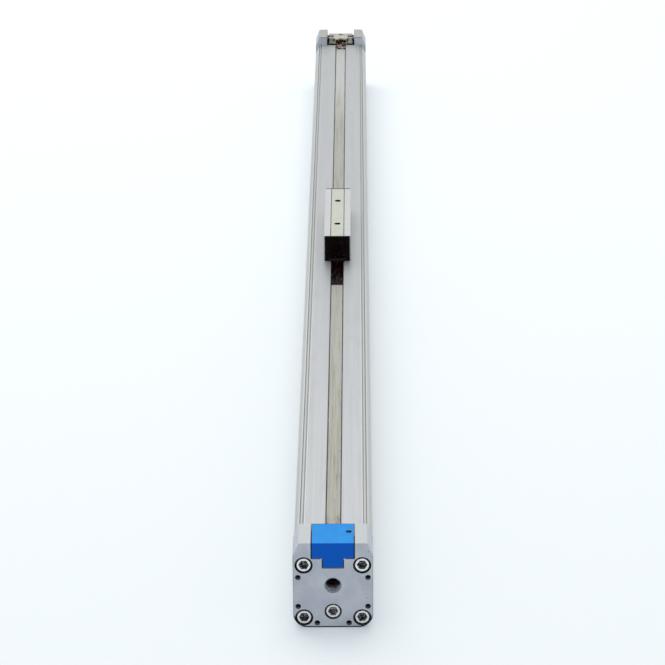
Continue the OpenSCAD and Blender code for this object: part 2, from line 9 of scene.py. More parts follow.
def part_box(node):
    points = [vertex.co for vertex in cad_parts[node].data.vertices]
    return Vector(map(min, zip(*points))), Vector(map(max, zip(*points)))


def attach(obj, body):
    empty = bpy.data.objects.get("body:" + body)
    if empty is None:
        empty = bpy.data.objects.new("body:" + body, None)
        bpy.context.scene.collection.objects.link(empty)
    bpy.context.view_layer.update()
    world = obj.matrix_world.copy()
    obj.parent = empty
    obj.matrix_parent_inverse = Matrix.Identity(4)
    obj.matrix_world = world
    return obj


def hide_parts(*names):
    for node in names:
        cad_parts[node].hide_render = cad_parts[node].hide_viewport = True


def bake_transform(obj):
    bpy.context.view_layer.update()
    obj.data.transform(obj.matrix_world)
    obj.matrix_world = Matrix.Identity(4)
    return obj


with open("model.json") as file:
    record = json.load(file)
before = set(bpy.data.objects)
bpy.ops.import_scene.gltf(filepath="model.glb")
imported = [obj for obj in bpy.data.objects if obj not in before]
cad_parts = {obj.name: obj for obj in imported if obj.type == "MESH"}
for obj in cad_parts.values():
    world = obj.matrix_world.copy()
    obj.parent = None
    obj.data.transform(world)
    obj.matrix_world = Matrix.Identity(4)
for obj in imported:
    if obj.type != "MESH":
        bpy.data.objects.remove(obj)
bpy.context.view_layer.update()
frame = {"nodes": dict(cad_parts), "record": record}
nodes = frame["nodes"]
record = frame["record"]
slotOf = {part["node"]: part["material_slot"] for part in record["subparts"]}
bodyOf = {node: body for body, members in record["behaviour"]["bodies"].items() for node in members}
mm = 0.001
endY = -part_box("near_cap")[0].y  # how far the caps' outer faces are from the middle
driverLow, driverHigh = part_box("driver_body")
carriageY = (driverLow.y + driverHigh.y) / 2
print("frame loaded,", len(nodes), "nodes")


class Wire:  # a socket that plain operators work on
    def __init__(self, tree, socket):
        self.tree = tree
        self.socket = socket

    def node(self, kind, settings=None, sockets=None, out=0):
        made = self.tree.nodes.new("ShaderNode" + kind)
        for name, value in (settings or {}).items():
            setattr(made, name, value)
        for key, value in (sockets or {}).items():
            if isinstance(value, Wire):
                self.tree.links.new(value.socket, made.inputs[key])
            else:
                made.inputs[key].default_value = value
        return Wire(self.tree, made.outputs[out])

    def math(self, operation, *values):
        return self.node("Math", {"operation": operation}, dict(enumerate(values)))

    def __add__(self, other):
        return self.math("ADD", self, other)

    def __sub__(self, other):
        return self.math("SUBTRACT", self, other)

    def __rsub__(self, other):
        return self.math("SUBTRACT", other, self)

    def __mul__(self, other):
        return self.math("MULTIPLY", self, other)

    __radd__ = __add__
    __rmul__ = __mul__


def tint(red, green, blue):  # a colour as a screen shows it, 0 to 255, as linear light
    def linear(value):
        value /= 255
        return value / 12.92 if value <= 0.04045 else ((value + 0.055) / 1.055) ** 2.4
    return (linear(red), linear(green), linear(blue), 1)


def stretched(place, x, y, z):
    return place.node("VectorMath", {"operation": "MULTIPLY"}, {0: place, 1: (x, y, z)})


def noise(place, scale, detail=3, roughness=0.55):
    return place.node("TexNoise", {}, {"Vector": place, "Scale": scale, "Detail": detail,
                                       "Roughness": roughness})


def between(value, low, high, fromValue=0, toValue=1):  # clamped ramp from low to high
    return value.node("MapRange", {"interpolation_type": "SMOOTHSTEP"},
                      {0: value, 1: low, 2: high, 3: fromValue, 4: toValue})


def bandAt(value, low, high, soft):  # 1 from low to high, fading to 0 over soft
    return between(value, low - soft, low) * between(value, high, high + soft, 1, 0)


def mixed(factor, first, second):
    return factor.node("Mix", {"data_type": "RGBA"}, {0: factor, 6: first, 7: second}, out=2)


def bumped(height, distance):
    return height.node("Bump", {}, {"Height": height, "Distance": distance, "Strength": 1})


def axes(place):  # distance from the middle plane, then Y and Z, all in mm
    split = place.node("SeparateXYZ", {}, {0: stretched(place, 1 / mm, 1 / mm, 1 / mm)})
    x, y, z = [Wire(place.tree, out) for out in split.socket.node.outputs]
    return x.math("ABSOLUTE", x), y, z


def capDepth(y):  # how deep a point lies inside the nearer cap's outer face, in mm
    return endY / mm - y.math("ABSOLUTE", y)


def finish(name, build, **constants):
    material = bpy.data.materials.new(name)
    material.use_nodes = True
    tree = material.node_tree
    shader = tree.nodes["Principled BSDF"]
    coordinates = tree.nodes.new("ShaderNodeTexCoord")
    for socket, value in build(Wire(tree, coordinates.outputs["Object"])).items():
        tree.links.new(value.socket, shader.inputs[socket])
    for socket, value in constants.items():
        shader.inputs[socket.replace("_", " ")].default_value = value
    return material


# Finishes. Lengths are in mm but relief is in m, pairs are ranges, and the patterns' scales are the noise's
# own: more is finer.
barrelFinish = {
    "colour": tint(191, 194, 195), "streak": tint(182, 186, 188), "cloud": tint(174, 179, 183),
    "away": tint(172, 176, 177), "grime": tint(50, 44, 41), "groove": tint(188, 187, 184),
    "corners": tint(146, 144, 140), "slope": tint(198, 198, 191), "rib": tint(222, 223, 216),
    "flank": tint(203, 206, 206), "roughness": (0.37, 0.49), "relief": 0.000015,
    "fine": 1900, "broad": 260, "clouds": 120, "grain": 1500,
    "fade": (-450, 50), "faded": 0.42,  # along the barrel, painted shade that makes the far end darker
    "top": 45, "sunk": 0.75, "skin": 0.08, "upper": (42, 42.5), "recess": 4.55,
    "grooves": (16.9, 19.35), "cornerWidth": 0.3,
    "slopeZ": (36, 40), "sloped": 0.35, "ribZ": (41.6, 44.3), "ribFade": (-300, 200), "ribLeft": 0.35,
    "innerRib": (0.55, 0.1), "side": 22.2, "edge": 0.1,
}


def extruded(look):
    def build(place):
        fine = noise(stretched(place, 1, 0.004, 1), look["fine"], 3)
        broad = noise(stretched(place, 1, 0.02, 1), look["broad"], 2)
        cloud = noise(stretched(place, 1, 0.25, 1), look["clouds"], 4, 0.6)
        grain = noise(place, look["grain"], 2)
        colour = mixed(between(fine * 0.5 + broad * 0.5, 0.36, 0.66), look["colour"], look["streak"])
        colour = mixed(between(cloud, 0.45, 0.8, 0, 0.7), colour, look["cloud"])
        x, y, z = axes(place)
        top, edge, (inner, outer) = look["top"], look["edge"], look["grooves"]
        # painted shade: the barrel darkens towards the far end
        colour = mixed(between(y, *look["fade"], 0, look["faded"]), colour, look["away"])
        sunk = between(z, top - look["sunk"], top - look["skin"], 1, 0)
        upper = between(z, *look["upper"])
        inRecess = sunk * upper * between(x, look["recess"], look["recess"] + edge, 1, 0)
        inGroove = sunk * bandAt(x, inner, outer, edge)
        colour = mixed(inGroove, colour, look["groove"])
        width, skin = look["cornerWidth"], look["skin"]
        corners = bandAt(x, inner, inner + width, skin) + bandAt(x, outer - width, outer, skin)
        colour = mixed(corners * sunk, colour, look["corners"])  # painted shade along the grooves' bottom corners
        onTop = between(z, top - skin, top - 0.02)
        onSlope = between(x, outer + edge, outer + 2.5 * edge)
        colour = mixed(onSlope * between(z, *look["slopeZ"]) * look["sloped"], colour, look["slope"])
        start, end = look["innerRib"]
        ribHighlights = bandAt(x, inner - start, inner - end, edge) * onTop * 0.5 + onSlope * between(z, *look["ribZ"])
        ribHighlights = ribHighlights * between(y, *look["ribFade"], 1, look["ribLeft"])
        colour = mixed(ribHighlights, colour, look["rib"])  # painted highlight beside the grooves
        # painted light: the barrel's sides are given a lighter colour
        colour = mixed(between(x, look["side"] - 2 * edge, look["side"]), colour, look["flank"])
        # painted shade in the recess beside the band, varied a little
        colour = mixed(inRecess * between(cloud, 0.2, 0.6, 0.75, 1), colour, look["grime"])
        return {
            "Base Color": colour,
            "Roughness": between(fine, 0.3, 0.7, *look["roughness"]),
            "Normal": bumped(fine * 0.6 + grain * 0.4, look["relief"]),
        }
    return build


driverFinish = {
    "colour": tint(202, 204, 204), "streak": tint(194, 196, 197), "line": tint(66, 64, 60),
    "roughness": (0.29, 0.41),
}
barFinish = {
    "colour": tint(201, 204, 190), "streak": tint(193, 196, 181), "line": tint(66, 64, 58),
    "roughness": (0.31, 0.43),
}
jointLook = {  # where the bar meets the driver, from the middle plane
    "gap": 4.7, "half": 0.22, "soft": 0.14, "top": 63.5, "fine": 2200, "clouds": 210, "relief": 0.00002,
}


def milled(look):  # the driver and its bar, with painted shade in the joint between them
    def build(place):
        fine = noise(stretched(place, 1, 0.02, 1), jointLook["fine"], 3)
        cloud = noise(place, jointLook["clouds"], 3)
        colour = mixed(between(fine * 0.5 + cloud * 0.5, 0.38, 0.66), look["colour"], look["streak"])
        x, y, z = axes(place)
        gap, half, top = jointLook["gap"], jointLook["half"], jointLook["top"]
        onTop = between(z, top - 0.6, top - 0.3)
        joint = bandAt(x, gap - half, gap + half, jointLook["soft"]) * onTop
        return {
            "Base Color": mixed(joint * between(cloud, 0.3, 0.5, 0.85, 1), colour, look["line"]),
            "Roughness": between(fine, 0.3, 0.7, *look["roughness"]),
            "Normal": bumped(fine * 0.5 + cloud * 0.5, jointLook["relief"]),
        }
    return build


capFinish = {
    "colour": tint(200, 207, 215), "shade": tint(184, 192, 204), "speck": tint(96, 98, 102),
    "far": tint(168, 168, 160), "top": tint(195, 199, 201), "gap": tint(22, 24, 34),
    "roughness": (0.41, 0.52), "relief": 0.00004, "peel": 2600, "clouds": 90, "specks": 260, "patches": 130,
    "topZ": (51.4, 52.2), "farY": (400, 500), "farZ": (50.6, 52), "farMost": 0.85,
    "corner": (14, 8.5), "footLine": (0.95, 0.6), "footZ": (5, 9),
}
coverGap = {  # the painted shade in the gap between a cap and the blue cover, and how deep it is painted
    "side": (11.95, 12.35), "sideZ": (42.9, 43.1), "ledge": (42.75, 43.1), "ledgeX": (6.8, 12.2),
    "tab": (5.85, 6.2), "tabZ": (37.3, 42.3), "foot": (36.95, 37.3), "footX": (6, 6.1),
    "soft": 0.12, "ends": 0.1, "depth": (0.5, 0.7),
}


def cast(look):
    def build(place):
        peel = noise(place, look["peel"], 3)
        cloud = noise(place, look["clouds"], 4)
        specks = place.node("TexVoronoi", {}, {"Vector": place, "Scale": look["specks"]})
        dots = between(specks, 0.08, 0.13, 1, 0) * between(noise(place, look["patches"], 1), 0.55, 0.62)
        x, y, z = axes(place)
        colour = mixed(between(cloud, 0.35, 0.7), look["colour"], look["shade"])
        # painted shade: the cap's top faces are a little darker and less blue than its front
        colour = mixed(between(z, *look["topZ"]), colour, look["top"])
        # painted shade: the far cap's top is darker
        isFar = between(y, *look["farY"]) * between(z, *look["farZ"], 0, look["farMost"])
        colour = mixed(isFar, colour, look["far"])
        soft, ends = coverGap["soft"], coverGap["ends"]
        front = between(capDepth(y), *coverGap["depth"], 1, 0)
        sides = bandAt(x, *coverGap["side"], soft) * between(z, *coverGap["sideZ"])
        ledge = bandAt(z, *coverGap["ledge"], soft) * bandAt(x, *coverGap["ledgeX"], ends)
        tab = bandAt(x, *coverGap["tab"], soft) * bandAt(z, *coverGap["tabZ"], ends) + \
            bandAt(z, *coverGap["foot"], soft) * between(x, *coverGap["footX"], 1, 0)
        flat, corner = look["corner"]
        out = (x - flat).math("MAXIMUM", x - flat, 0)
        down = (corner - z).math("MAXIMUM", corner - z, 0)
        low, high = [(corner - line) ** 2 for line in look["footLine"]]
        foot = between(out * out + down * down, low, high) * between(z, *look["footZ"], 1, 0.12)
        gap = sides + (ledge + tab + foot) * front  # painted shade in the gap round the cover, and a painted contact shadow along the lower edge
        colour = mixed(gap.math("MINIMUM", gap, 1), colour, look["gap"])
        return {
            "Base Color": mixed(dots * 0.6, colour, look["speck"]),
            "Roughness": between(peel, 0.3, 0.7, *look["roughness"]),
            "Normal": bumped(peel * 0.6 + cloud * 0.4, look["relief"]),
        }
    return build


coverFinish = {
    "colour": tint(0, 163, 252), "deep": tint(0, 153, 245), "front": tint(0, 100, 216),
    "line": tint(0, 44, 100), "roughness": (0.31, 0.42), "side": 11.7, "back": 24.75,
    "frontDepth": (0.12, 0.4),
}
mouldedLook = {"peel": 3200, "clouds": 140, "relief": 0.000015}


def moulded(look):
    def build(place):
        peel = noise(place, mouldedLook["peel"], 2)
        cloud = noise(place, mouldedLook["clouds"], 3)
        return {
            "Base Color": mixed(between(cloud, 0.3, 0.7), look["colour"], look["deep"]),
            "Roughness": between(peel, 0.3, 0.7, *look["roughness"]),
            "Normal": bumped(peel, mouldedLook["relief"]),
        }
    return build


def cover(look):  # moulded, painted a deeper blue on its front as shade, with painted shade along its side and back edges
    def build(place):
        parts = moulded(look)(place)
        x, y, z = axes(place)
        front = between(y + endY / mm, *look["frontDepth"], 1, 0)
        colour = mixed(front, parts["Base Color"], look["front"])
        edge = between(x, look["side"] - 0.12, look["side"]) + \
            between(y + endY / mm, look["back"] - 0.4, look["back"])
        parts["Base Color"] = mixed(edge.math("MINIMUM", edge, 1), colour, look["line"])
        return parts
    return build


blackFinish = {
    "colour": tint(9, 1, 2), "dust": tint(92, 60, 74), "roughness": (0.20, 0.42),
    "dusty": (0.56, 0.74), "most": 0.7, "reach": 30,
}
holderFinish = {
    "colour": tint(22, 12, 12), "dust": tint(176, 152, 146), "roughness": (0.22, 0.44),
    "dusty": (0.45, 0.6), "most": 1, "reach": 4.6,
}
dustAndSheenLook = {"peel": 2800, "smears": 520, "lowZ": (50, 54), "relief": 0.00002}


def dustAndSheenBlack(look):  # the dust and painted sheen lie low down, within reach of the middle
    def build(place):
        peel = noise(place, dustAndSheenLook["peel"], 2)
        smears = noise(stretched(place, 1, 0.35, 1), dustAndSheenLook["smears"], 4, 0.65)
        x, y, z = axes(place)
        dusty = between(smears, *look["dusty"], 0, look["most"]) * between(z, *dustAndSheenLook["lowZ"], 1, 0.3) * \
            between(x, look["reach"], look["reach"] + 1, 1, 0)
        return {
            "Base Color": mixed(dusty, look["colour"], look["dust"]),
            "Roughness": between(smears, 0.4, 0.7, *look["roughness"]),
            "Normal": bumped(peel, dustAndSheenLook["relief"]),
        }
    return build


screwFinish = {
    "colour": tint(236, 236, 230), "stain": tint(190, 187, 176), "roughness": (0.18, 0.36),
    "scale": 900, "patches": (0.5, 0.78), "farStain": 0,
}
clampFinish = {
    "colour": tint(216, 214, 201), "stain": tint(140, 136, 124), "roughness": (0.26, 0.44),
    "scale": 480, "patches": (0.45, 0.68), "farStain": 0.35,
}
wornHeadFinish = {
    "colour": tint(172, 170, 160), "stain": tint(112, 110, 102), "roughness": (0.28, 0.46),
    "scale": 900, "patches": (0.42, 0.62), "farStain": 0,
}
turnedLook = {"scale": 5200, "relief": 0.00001}  # fine tool marks on turned and drilled metal


def stained(look):  # metal with patches of another colour, and more of it at the far end
    def build(place):
        y = axes(place)[1]
        mottle = noise(place, look["scale"], 4, 0.6)
        turning = noise(place, turnedLook["scale"], 2)
        atFar = between(y, 0, 400, 0, look["farStain"])
        patched = mixed(between(mottle, *look["patches"]), look["colour"], look["stain"])
        return {
            "Base Color": mixed(atFar, patched, look["stain"]),
            "Roughness": between(mottle, 0.35, 0.7, *look["roughness"]),
            "Normal": bumped(turning, turnedLook["relief"]),
        }
    return build


portFinish = {  # lit at its mouth, dark further in, from one depth to the other
    "colour": tint(150, 158, 174), "stain": tint(98, 92, 100), "dark": tint(18, 6, 6),
    "rust": tint(78, 48, 42), "roughness": (0.28, 0.46), "dim": (3.5, 7.2), "fromTop": False,
}
markFinish = {
    "colour": tint(168, 168, 178), "stain": tint(128, 124, 132), "dark": tint(24, 18, 18),
    "rust": tint(24, 18, 18), "roughness": (0.34, 0.52), "dim": (2.3, 4.0), "fromTop": False,
}
# the driver bar's holes: painted bright at the mouth as a highlight, and painted shade below it
barHoleFinish = {
    "colour": tint(224, 224, 214), "stain": tint(196, 194, 184), "dark": tint(30, 26, 24),
    "rust": tint(30, 26, 24), "roughness": (0.24, 0.42), "dim": (0.0, 0.45), "fromTop": True,
}
holeScale = 700  # how fine the stains in the holes are


def dimHole(look):
    def build(place):
        mottle = noise(place, holeScale, 4, 0.6)
        x, y, z = axes(place)
        depth = driverHigh.z / mm - z if look["fromTop"] else capDepth(y)
        low, high = look["dim"]
        # painted shade from one depth to the other, with reddish-brown patches in it
        dark = between(depth + between(mottle, 0.3, 0.7, -0.3, 0.3) * (high - low), low, high)
        colour = mixed(between(mottle, 0.45, 0.7), look["colour"], look["stain"])
        deep = mixed(between(mottle, 0.5, 0.62, 0, 0.8), look["dark"], look["rust"])
        return {
            "Base Color": mixed(dark, colour, deep),
            "Roughness": between(mottle, 0.35, 0.7, *look["roughness"]),
            "Normal": bumped(noise(place, turnedLook["scale"], 2), turnedLook["relief"]),
        }
    return build


socketShadeFinish = {"colour": tint(16, 14, 15), "glint": tint(150, 160, 168), "roughness": (0.08, 0.30)}
paleSocketShadeFinish = {"colour": tint(62, 64, 74), "glint": tint(186, 192, 200), "roughness": (0.12, 0.34)}
socketShadeLook = {"drops": 900, "ripple": 1100, "glints": (0.48, 0.58), "relief": 0.0006}


def shadedSocket(look):  # painted shade in a socket, with painted glints
    def build(place):
        drops = noise(place, socketShadeLook["drops"], 3, 0.6)
        ripple = noise(place, socketShadeLook["ripple"], 2)
        return {
            "Base Color": mixed(between(drops, *socketShadeLook["glints"]), look["colour"], look["glint"]),
            "Roughness": between(ripple, 0.3, 0.7, *look["roughness"]),
            "Normal": bumped(ripple * 0.6 + drops * 0.4, socketShadeLook["relief"]),
        }
    return build


bandFinish = {
    "colour": tint(163, 162, 149), "pale": tint(182, 182, 173), "brown": tint(144, 138, 120),
    "dirt": tint(104, 96, 84), "far": tint(203, 209, 211), "grey": tint(160, 161, 155),
    "roughness": (0.32, 0.52), "relief": 0.00003, "thin": 2600, "wide": 900, "blots": 210,
    "edge": 3.75, "dirtyEnd": (-495, -400), "brownEnd": (-420, -300), "browned": 0.17,
    "greyPart": (90, 270), "greyed": 0.4, "farEnd": (270, 390), "whitened": 0.55,
}


def bandStreaks(look):
    def build(place):
        thin = noise(stretched(place, 1, 0.008, 1), look["thin"], 3, 0.65)
        wide = noise(stretched(place, 1, 0.02, 1), look["wide"], 3, 0.6)
        blots = noise(stretched(place, 1, 0.3, 1), look["blots"], 5, 0.7)
        x, y, z = axes(place)
        colour = mixed(between(thin, 0.34, 0.66), look["colour"], look["pale"])
        colour = mixed(between(wide, 0.48, 0.68, 0, 0.7), colour, look["brown"])
        nearEnd = between(y, *look["dirtyEnd"], 0.16, 0)
        wavy = x + between(blots, 0.3, 0.7, -0.2, 0.25)
        edge = between(wavy, look["edge"], look["edge"] + 0.35)
        colour = mixed(between(blots + nearEnd, 0.60, 0.76, 0, 0.6), colour, look["dirt"])
        colour = mixed(between(y, *look["brownEnd"], look["browned"], 0), colour, look["brown"])
        colour = mixed(bandAt(y, *look["greyPart"], 40) * look["greyed"], colour, look["grey"])
        colour = mixed(between(y, *look["farEnd"], 0, look["whitened"]), colour, look["far"])
        return {
            "Base Color": mixed(edge * 0.8, colour, look["dirt"]),
            "Roughness": between(wide, 0.3, 0.7, *look["roughness"]),
            "Normal": bumped(thin, look["relief"]),
        }
    return build


materials = {
    "barrel": finish("clearAnodisedExtrusion", extruded(barrelFinish), Metallic=0.50),
    "cap": finish("greyCastCap", cast(capFinish), Metallic=0.30),
    "cover_blue": finish("blueCoverPlastic", cover(coverFinish), Specular_IOR_Level=0.12),
    "bright_steel": finish("zincPlatedScrew", stained(screwFinish), Metallic=0.85),
    "clamp_plate": finish("platedClampSteel", stained(clampFinish), Metallic=0.5),
    "black_plastic": finish("blackGuidePlastic", dustAndSheenBlack(blackFinish), Specular_IOR_Level=0.08),
    "band": finish("streakedCoverBand", bandStreaks(bandFinish), Metallic=0.30),
    "driver": finish("driverAluminium", milled(driverFinish), Metallic=0.50),
    "bar": finish("driverBarAluminium", milled(barFinish), Metallic=0.35),
}
portMaterial = finish("threadedPort", dimHole(portFinish), Metallic=0.3)
markMaterial = finish("blindHole", dimHole(markFinish), Metallic=0.1)
barHoleMaterial = finish("brightThread", dimHole(barHoleFinish), Metallic=0.2)
wornHeadMaterial = finish("wornScrewHead", stained(wornHeadFinish), Metallic=0.5)
holderMaterial = finish("scuffedHolderPlastic", dustAndSheenBlack(holderFinish), Specular_IOR_Level=0.1)
socketShadeMaterial = finish("oilySocket", shadedSocket(socketShadeFinish), Metallic=0.3)
paleSocketShadeMaterial = finish("wornSocket", shadedSocket(paleSocketShadeFinish), Metallic=0.4)
plainFinishes = {  # inner pieces: colour, deeper colour, roughness, metal
    "seal_rubber": ("blackNitrileRubber", (30, 30, 31), (18, 18, 19), (0.57, 0.68), 0),
    "seal_green": ("greenSealRubber", (44, 96, 72), (32, 78, 58), (0.45, 0.56), 0),
    "liner": ("naturalAcetal", (234, 232, 222), (222, 219, 206), (0.37, 0.48), 0),
    "yoke": ("machinedYoke", (190, 192, 196), (172, 175, 180), (0.29, 0.40), 0.8),
    "piston": ("glassFilledPiston", (62, 62, 66), (46, 46, 50), (0.45, 0.56), 0),
    "wear": ("bronzeFilledRing", (150, 118, 82), (128, 98, 66), (0.47, 0.58), 0),
    "pin": ("turnedBrassPin", (206, 184, 120), (186, 162, 98), (0.25, 0.36), 0.9),
    "magnet": ("sinteredMagnet", (96, 96, 102), (74, 74, 80), (0.35, 0.46), 0.8),
    "dark_steel": ("blackenedSteel", (72, 72, 75), (52, 52, 55), (0.33, 0.44), 0.8),
}
for slotName, (title, colour, deep, roughness, metal) in plainFinishes.items():
    look = {"colour": tint(*colour), "deep": tint(*deep), "roughness": roughness}
    materials[slotName] = finish(title, moulded(look), Metallic=metal)
for node, obj in nodes.items():
    obj.data.materials.clear()
    obj.data.materials.append(materials[slotOf[node]])
print("finishes made,", len(materials))


# Softened copies of the hard pieces. They stand where the CAD ones do.
meshLook = {"merge": 0.002, "flat": 0.5, "sharp": 30, "smooth": 38}  # mm, then degrees


def cleanMesh(node):
    shape = bmesh.new()
    shape.from_mesh(nodes[node].data)
    bmesh.ops.remove_doubles(shape, verts=shape.verts, dist=meshLook["merge"] * mm)
    flat = math.radians(meshLook["flat"])
    bmesh.ops.dissolve_limit(shape, angle_limit=flat, verts=shape.verts, edges=shape.edges)
    return shape


def sharpEdges(shape, angle=meshLook["sharp"]):
    return [e for e in shape.edges if len(e.link_faces) == 2 and e.calc_face_angle(0) > math.radians(angle)]


def soften(shape, edges, width, segments=2):
    if edges:
        bmesh.ops.bevel(shape, geom=edges, offset=width, offset_type="OFFSET", segments=segments,
                        profile=0.5, affect="EDGES", clamp_overlap=True)


def paint(shape, index, inside):  # gives the faces whose middle is inside, in mm, another finish
    for face in shape.faces:
        if inside(face.calc_center_median() / mm):
            face.material_index = index


def addPiece(shape, name, node, extra=()):
    mesh = bpy.data.meshes.new(name)
    shape.to_mesh(mesh)
    shape.free()
    piece = bpy.data.objects.new(name, mesh)
    bpy.context.scene.collection.objects.link(piece)
    for material in (materials[slotOf[node]], *extra):
        mesh.materials.append(material)
    mesh.shade_smooth()
    mesh.set_sharp_from_angle(angle=math.radians(meshLook["smooth"]))
    weighted = piece.modifiers.new("weighted", "WEIGHTED_NORMAL")
    weighted.keep_sharp = True
    return piece


def stand(piece, node):
    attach(piece, bodyOf[node])
    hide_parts(node)


def camel(node):
    first, *rest = node.split("_")
    return first + "".join(word.capitalize() for word in rest)


screwPlaces = {  # heights and distances of the sockets' axes, and how deep their heads' faces are, in mm
    "axisZ": 22.5, "capScrew": 16.33, "capHead": 0.5, "cushionZ": 9.95, "cushionHead": 0.35,
    "plugDepth": 12.5, "plugFace": 22,
}
screwSlot = {"x": 8.4, "depth": 14, "reach": 2.1, "z": (50.6, 51.25)}
coverHole = {"x": 8.9, "depth": 15, "reach": 1.95, "z": (48, 52.36)}


def depthBelow(c):  # as capDepth, for a point
    return endY / mm - abs(c.y)


def inScrewSlot(c):
    away = math.hypot(abs(c.x) - screwSlot["x"], depthBelow(c) - screwSlot["depth"])
    return away < screwSlot["reach"] and screwSlot["z"][0] < c.z < screwSlot["z"][1]


def inCoverHole(c):
    away = math.hypot(c.x - coverHole["x"], depthBelow(c) - coverHole["depth"])
    return away < coverHole["reach"] and coverHole["z"][0] < c.z < coverHole["z"][1]


# each gives the way out from the nearest socket's axis and the depth below the head's face, in mm
def fromCapScrew(c):
    side, up = screwPlaces["capScrew"], c.z - screwPlaces["axisZ"]
    out = Vector((c.x - math.copysign(side, c.x), 0, up - math.copysign(side, up)))
    return out, depthBelow(c) - screwPlaces["capHead"]


def fromCushionScrew(c):
    return Vector((c.x, 0, c.z - screwPlaces["cushionZ"])), depthBelow(c) - screwPlaces["cushionHead"]


def fromPlug(c):
    away = c.y - math.copysign(endY / mm - screwPlaces["plugDepth"], c.y)
    return Vector((0, away, c.z - screwPlaces["axisZ"])), screwPlaces["plugFace"] - abs(c.x)


softPieces = {  # bevel in mm, and the test for faces painted dark as shade
    "barrel": (0.10, None),
    "near_cap_cover": (0.2, inCoverHole),
    "near_band_clamp": (0.15, None), "far_band_clamp": (0.15, None),
    "near_clamp_screws": (0.08, inScrewSlot), "far_clamp_screws": (0.08, inScrewSlot),
    "near_band_holder": (0.15, None), "far_band_holder": (0.15, None),
    "driver_body": (0.12, None),
    "near_end_piece": (0.18, None), "far_end_piece": (0.18, None),
}
endPieceRise = 0.62  # their top edges come up to just under the driver's face
for node, (width, shadeTest) in softPieces.items():
    shape = cleanMesh(node)
    if node.endswith("end_piece"):
        top = max(v.co.z for v in shape.verts)
        for v in shape.verts:
            v.co.z += endPieceRise * mm if v.co.z > top - 0.01 * mm else 0
    soften(shape, sharpEdges(shape), width * mm)
    if shadeTest:
        paint(shape, 1, shadeTest)
    if node.endswith("holder"):
        paint(shape, 1, lambda c: True)
    if node.endswith("clamp_screws"):
        # every face but a head's top gets the painted shade
        for face in shape.faces:
            face.material_index = 2 if face.normal.z > 0.9 and face.material_index == 0 else 1
    extra = (socketShadeMaterial, wornHeadMaterial) if shadeTest else ()
    if node.endswith("holder"):
        extra = (holderMaterial,)
    stand(addPiece(shape, camel(node), node, extra), node)

sockets = {  # the way from its axis, the painted shade in it, and the axis it points along, 0 for X and 1 for Y
    "cap_screws": (fromCapScrew, socketShadeMaterial, 1),
    "cushion_screw": (fromCushionScrew, paleSocketShadeMaterial, 1),
    "side_plugs": (fromPlug, socketShadeMaterial, 0),
}
socketLook = {  # in mm, but flare is a share of the distance from the axis
    "reach": 3.2, "flare": 0.32, "mouth": 0.4, "edge": 0.12, "deep": 3.8, "rim": 0.4,
    "from": 0.1, "level": 0.02, "painted": 3.4, "outer": 3.7,
}


def makeSocketed(node, fromAxis, dirt, axis):  # a flared socket mouth, painted dark as shade from there inwards
    def inSocket(c, low=socketLook["from"]):
        out, depth = fromAxis(c)
        return out.length < socketLook["reach"] and low < depth < socketLook["deep"]

    def atMouth(c):
        return inSocket(c, -socketLook["level"]) and abs(fromAxis(c)[1]) < socketLook["level"]

    shape = cleanMesh(node)
    mouth = [v for v in shape.verts if atMouth(v.co / mm)]
    across = Vector([float(k == axis) for k in range(3)])
    for level in sorted({round(v.co[axis], 6) for v in mouth}):
        walls = [f for f in shape.faces if inSocket(f.calc_center_median() / mm)]
        parts = {part for f in walls for part in (*f.verts, *f.edges)}
        cut = across * (level - math.copysign(socketLook["mouth"] * mm, level))
        bmesh.ops.bisect_plane(shape, geom=[*parts, *walls], plane_co=cut, plane_no=across)
    for v in mouth:
        v.co += fromAxis(v.co / mm)[0] * socketLook["flare"] * mm
    outer = [e for e in sharpEdges(shape) if fromAxis(e.verts[0].co / mm)[0].length > socketLook["outer"]]
    headEdge = max(fromAxis(v.co / mm)[0].length for v in shape.verts)
    facesOut = axis == 1  # the screws in the caps' faces have a rounded rim, painted dark as shade
    soften(shape, outer, socketLook["rim" if facesOut else "edge"] * mm)
    for face in shape.faces:
        out, depth = fromAxis(face.calc_center_median() / mm)
        onRim = facesOut and out.length > headEdge - socketLook["rim"] and depth < 1
        inside = out.length < socketLook["painted"] and socketLook["from"] < depth < socketLook["deep"]
        if onRim or inside:
            face.material_index = 1
    stand(addPiece(shape, camel(node), node, extra=(dirt,)), node)


for end in ("near", "far"):
    for name, (fromAxis, dirt, axis) in sockets.items():
        makeSocketed(end + "_" + name, fromAxis, dirt, axis)
print("softened pieces made,", len(softPieces) + 2 * len(sockets))


threadLook = {"around": 44, "perTurn": 10, "steep": 1.35}  # steep over 1 leaves the crests flat


def threadRings(shape, look, axis):  # axis puts u, v and a depth in place
    around, perTurn = threadLook["around"], threadLook["perTurn"]
    rows = int(look["length"] / look["pitch"] * perTurn)
    grid = []
    for row in range(rows + 1):
        along = look["start"] + look["length"] * row / rows
        runOut = min(1, (rows - row) / perTurn)
        ring = []
        for k in range(around):
            turn = k / around
            phase = (along / look["pitch"] - turn) % 1
            depth = min(1, threadLook["steep"] * (1 - abs(2 * phase - 1))) * runOut
            r = look["minor"] + (look["major"] - look["minor"]) * depth
            a = 2 * math.pi * turn
            ring.append(shape.verts.new(axis(r * math.cos(a) * mm, r * math.sin(a) * mm, along * mm)))
        grid.append(ring)
    for row in range(rows):
        for k in range(around):
            n = (k + 1) % around
            face = shape.faces.new((grid[row][k], grid[row][n], grid[row + 1][n], grid[row + 1][k]))
            face.material_index = look["index"]
    return grid[0], grid[-1]


